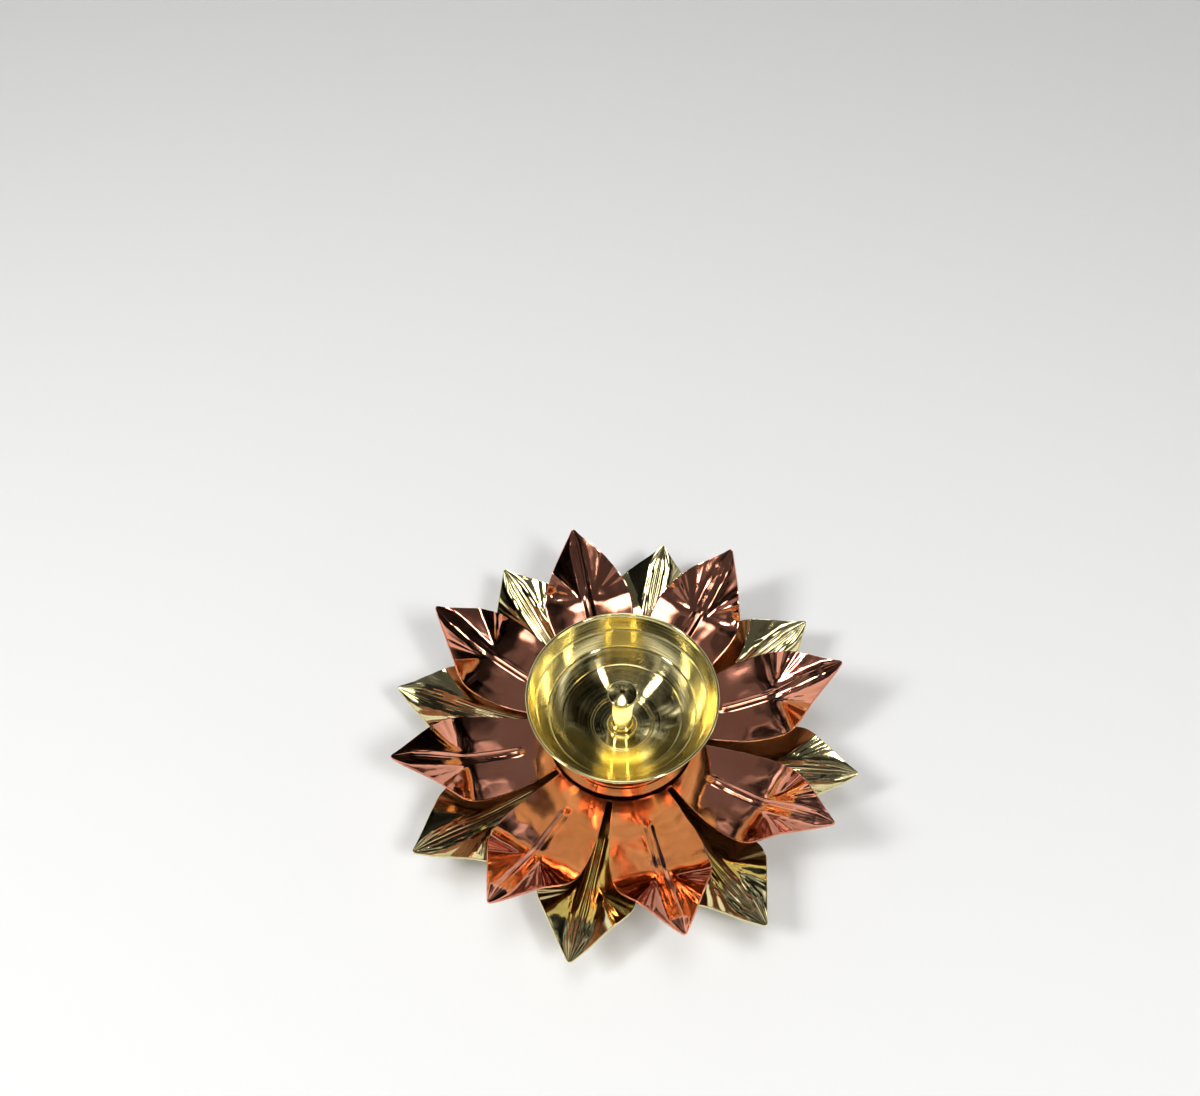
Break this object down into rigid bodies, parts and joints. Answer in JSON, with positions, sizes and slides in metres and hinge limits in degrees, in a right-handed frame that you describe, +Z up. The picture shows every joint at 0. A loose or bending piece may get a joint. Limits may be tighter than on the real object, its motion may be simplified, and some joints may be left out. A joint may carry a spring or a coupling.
{
  "type": "lotus oil lamp",
  "caption": "Lotus-shaped oil lamp: a round bowl with a central wick post over two layers of petals that turn on one axle, on a low round foot.",
  "frame": {"origin": "centre of the foot's flat underside, on the axle's axis", "axes": "+Z up along the axle, away from the table; X and Y are square to it, with the lamp seen from -Y"},
  "size_m": [0.1602, 0.1602, 0.0451],
  "materials": {
    "yellow_brass": "turned and polished yellow brass with fine circular marks",
    "pale_brass": "mirror-polished pale brass sheet",
    "copper": "mirror-polished copper sheet",
    "zinc_steel": "zinc-plated steel"
  },
  "bodies": {
    "lamp": {"foot": "yellow_brass", "flower_spacer": "yellow_brass", "bowl_saucer": "copper", "oil_bowl": "yellow_brass", "post_collar": "yellow_brass", "wick_post": "yellow_brass", "clamp_washer": "zinc_steel", "clamp_nut": "zinc_steel"},
    "brass_layer": {"brass_flower": "pale_brass"},
    "copper_layer": {"copper_flower": "copper"}
  },
  "joints": [
    {"name": "brass_turn", "type": "hinge", "parent": "lamp", "child": "brass_layer", "pos_m": [0, 0, 0.0092], "axis": [0, 0, 1], "continuous": true},
    {"name": "copper_turn", "type": "hinge", "parent": "lamp", "child": "copper_layer", "pos_m": [0, 0, 0.0183], "axis": [0, 0, 1], "continuous": true}
  ]
}
